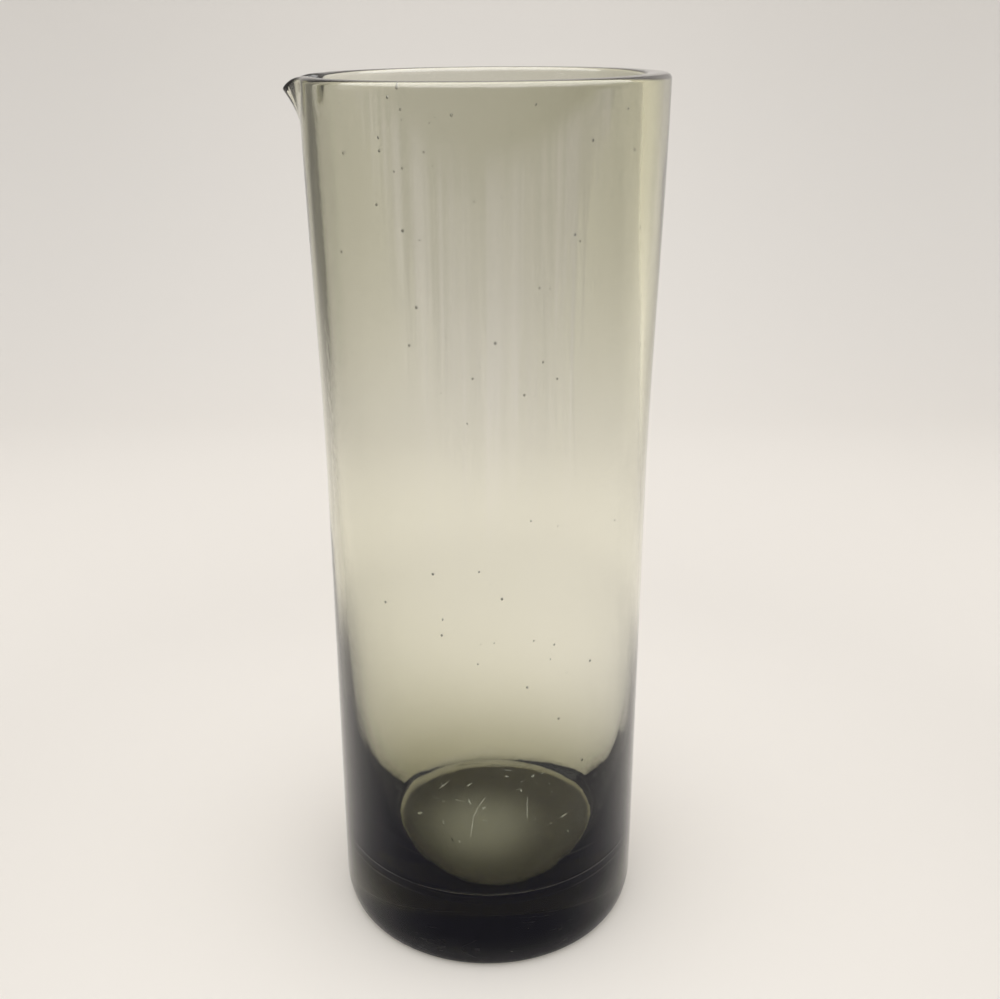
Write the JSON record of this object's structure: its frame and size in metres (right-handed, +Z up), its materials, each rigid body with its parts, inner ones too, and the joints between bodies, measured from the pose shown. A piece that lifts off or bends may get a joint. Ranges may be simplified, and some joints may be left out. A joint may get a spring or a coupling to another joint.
{
  "type": "cocktail pitcher",
  "caption": "Tall smoked glass mixing pitcher with a heavy solid base, a near-cylindrical body that flares slightly to the mouth, a rounded rim and a small pulled pour lip.",
  "frame": {"origin": "middle of the flat underside, on the outer axis of the body", "axes": "+Z up along the body, -X towards the pour lip"},
  "size_m": [0.0954, 0.0912, 0.2401],
  "materials": {
    "smoked_glass": "clear smoked glass with a warm olive-grey tint, fire-polished outside and at the rim, nearly black where the base is thick"
  },
  "bodies": {
    "root": {"glass_vessel": "smoked_glass"}
  },
  "joints": []
}
